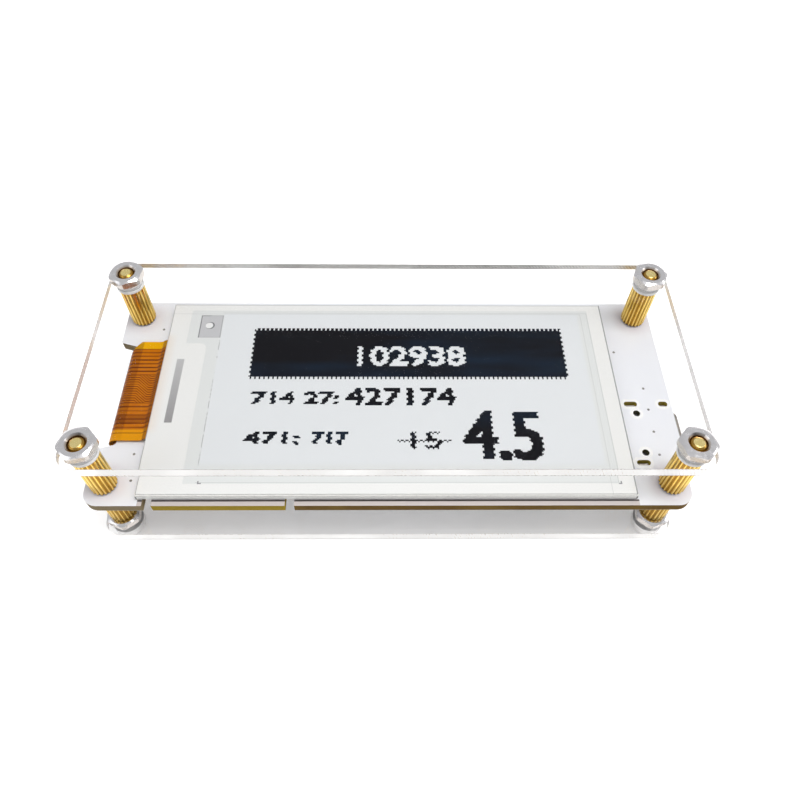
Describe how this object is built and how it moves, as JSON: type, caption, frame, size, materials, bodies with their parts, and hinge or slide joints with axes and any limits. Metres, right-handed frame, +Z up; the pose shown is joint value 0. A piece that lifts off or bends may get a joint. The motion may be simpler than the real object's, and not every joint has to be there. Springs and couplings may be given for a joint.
{
  "type": "electronic shelf label",
  "caption": "Small e-paper price label on a circuit board between two clear plates held by brass standoffs, with a USB socket and push switches underneath.",
  "frame": {"origin": "centre of the label in plan, on the surface that its four screw heads stand on", "axes": "+X to the right of the screen, towards the USB socket; +Y to the screen's rear edge; +Z up, out of the screen"},
  "size_m": [0.0735, 0.0314, 0.0212],
  "materials": {
    "acrylic": "clear cast sheet, laser-cut edges",
    "brass": "turned and knurled",
    "nickel": "nickel plated",
    "solder_mask": "white solder mask over glass epoxy",
    "tape": "thin foam tape",
    "panel_glass": "ground edges",
    "ink": "electronic ink laminate",
    "seal": "cured edge sealant",
    "contact_silver": "silver print",
    "silicon": "polished bare chip",
    "white_film": "white film",
    "matte_film": "anti-glare film",
    "polyimide": "amber polyimide with copper lines",
    "stiffener_blue": "stiffener film",
    "connector_ivory": "moulded nylon",
    "gold": "gold plated",
    "latch_black": "moulded",
    "bright_steel": "bright stamped steel",
    "socket_black": "moulded",
    "tin": "tinned",
    "switch_black": "moulded",
    "button_ivory": "moulded",
    "radio_mask": "black solder mask",
    "shield_steel": "tinned sheet",
    "epoxy_black": "moulded epoxy",
    "ferrite": "ferrite resin",
    "ceramic": "fired ceramic",
    "resistor_black": "glazed ceramic",
    "light_lens": "clear epoxy"
  },
  "bodies": {
    "label": {"top_plate": "acrylic", "bottom_plate": "acrylic", "upper_standoffs": "brass", "lower_standoffs": "brass", "top_nuts": "nickel", "bottom_nuts": "nickel", "bottom_screws": "nickel", "circuit_board": "solder_mask", "mounting_tape": "tape", "display_glass": "panel_glass", "ink_film": "ink", "edge_seal": "seal", "contact_pad": "contact_silver", "driver_chip": "silicon", "ledge_mask": "white_film", "cover_film": "matte_film", "display_flex": "polyimide", "flex_stiffener": "stiffener_blue", "flex_connector": "connector_ivory", "flex_contacts": "gold", "usb_shell": "bright_steel", "usb_tongue": "socket_black", "usb_contacts": "gold", "battery_socket": "connector_ivory", "battery_pins": "tin", "reset_switch_base": "switch_black", "reset_switch_cover": "bright_steel", "reset_switch_dome": "bright_steel", "user_switch_base": "switch_black", "user_switch_cover": "bright_steel", "user_switch_dome": "bright_steel", "switch_legs": "tin", "radio_board": "radio_mask", "radio_shield": "shield_steel", "radio_antenna": "gold", "bridge_chip": "epoxy_black", "bridge_chip_pads": "tin", "power_chips": "epoxy_black", "diodes": "epoxy_black", "chip_legs": "tin", "boost_inductor": "ferrite", "inductor_terminals": "tin", "crystal": "shield_steel", "capacitors": "ceramic", "resistors": "resistor_black", "chip_part_ends": "tin", "status_lights": "light_lens"},
    "latch": {"flex_latch": "latch_black"},
    "reset_button": {"reset_button": "button_ivory"},
    "user_button": {"user_button": "button_ivory"}
  },
  "joints": [
    {"name": "latch_flip", "type": "hinge", "parent": "label", "child": "latch", "pos_m": [-0.02645, -0.0003, 0.00902], "axis": [0, -1, 0], "range_deg": [0, 90]},
    {"name": "reset_press", "type": "slide", "parent": "label", "child": "reset_button", "axis": [0, 0, 1], "range_m": [0, 0.00025], "stiffness_N_per_m": 5000, "deforming": ["reset_switch_dome"]},
    {"name": "user_press", "type": "slide", "parent": "label", "child": "user_button", "axis": [0, 0, 1], "range_m": [0, 0.00025], "stiffness_N_per_m": 5000, "deforming": ["user_switch_dome"]}
  ]
}
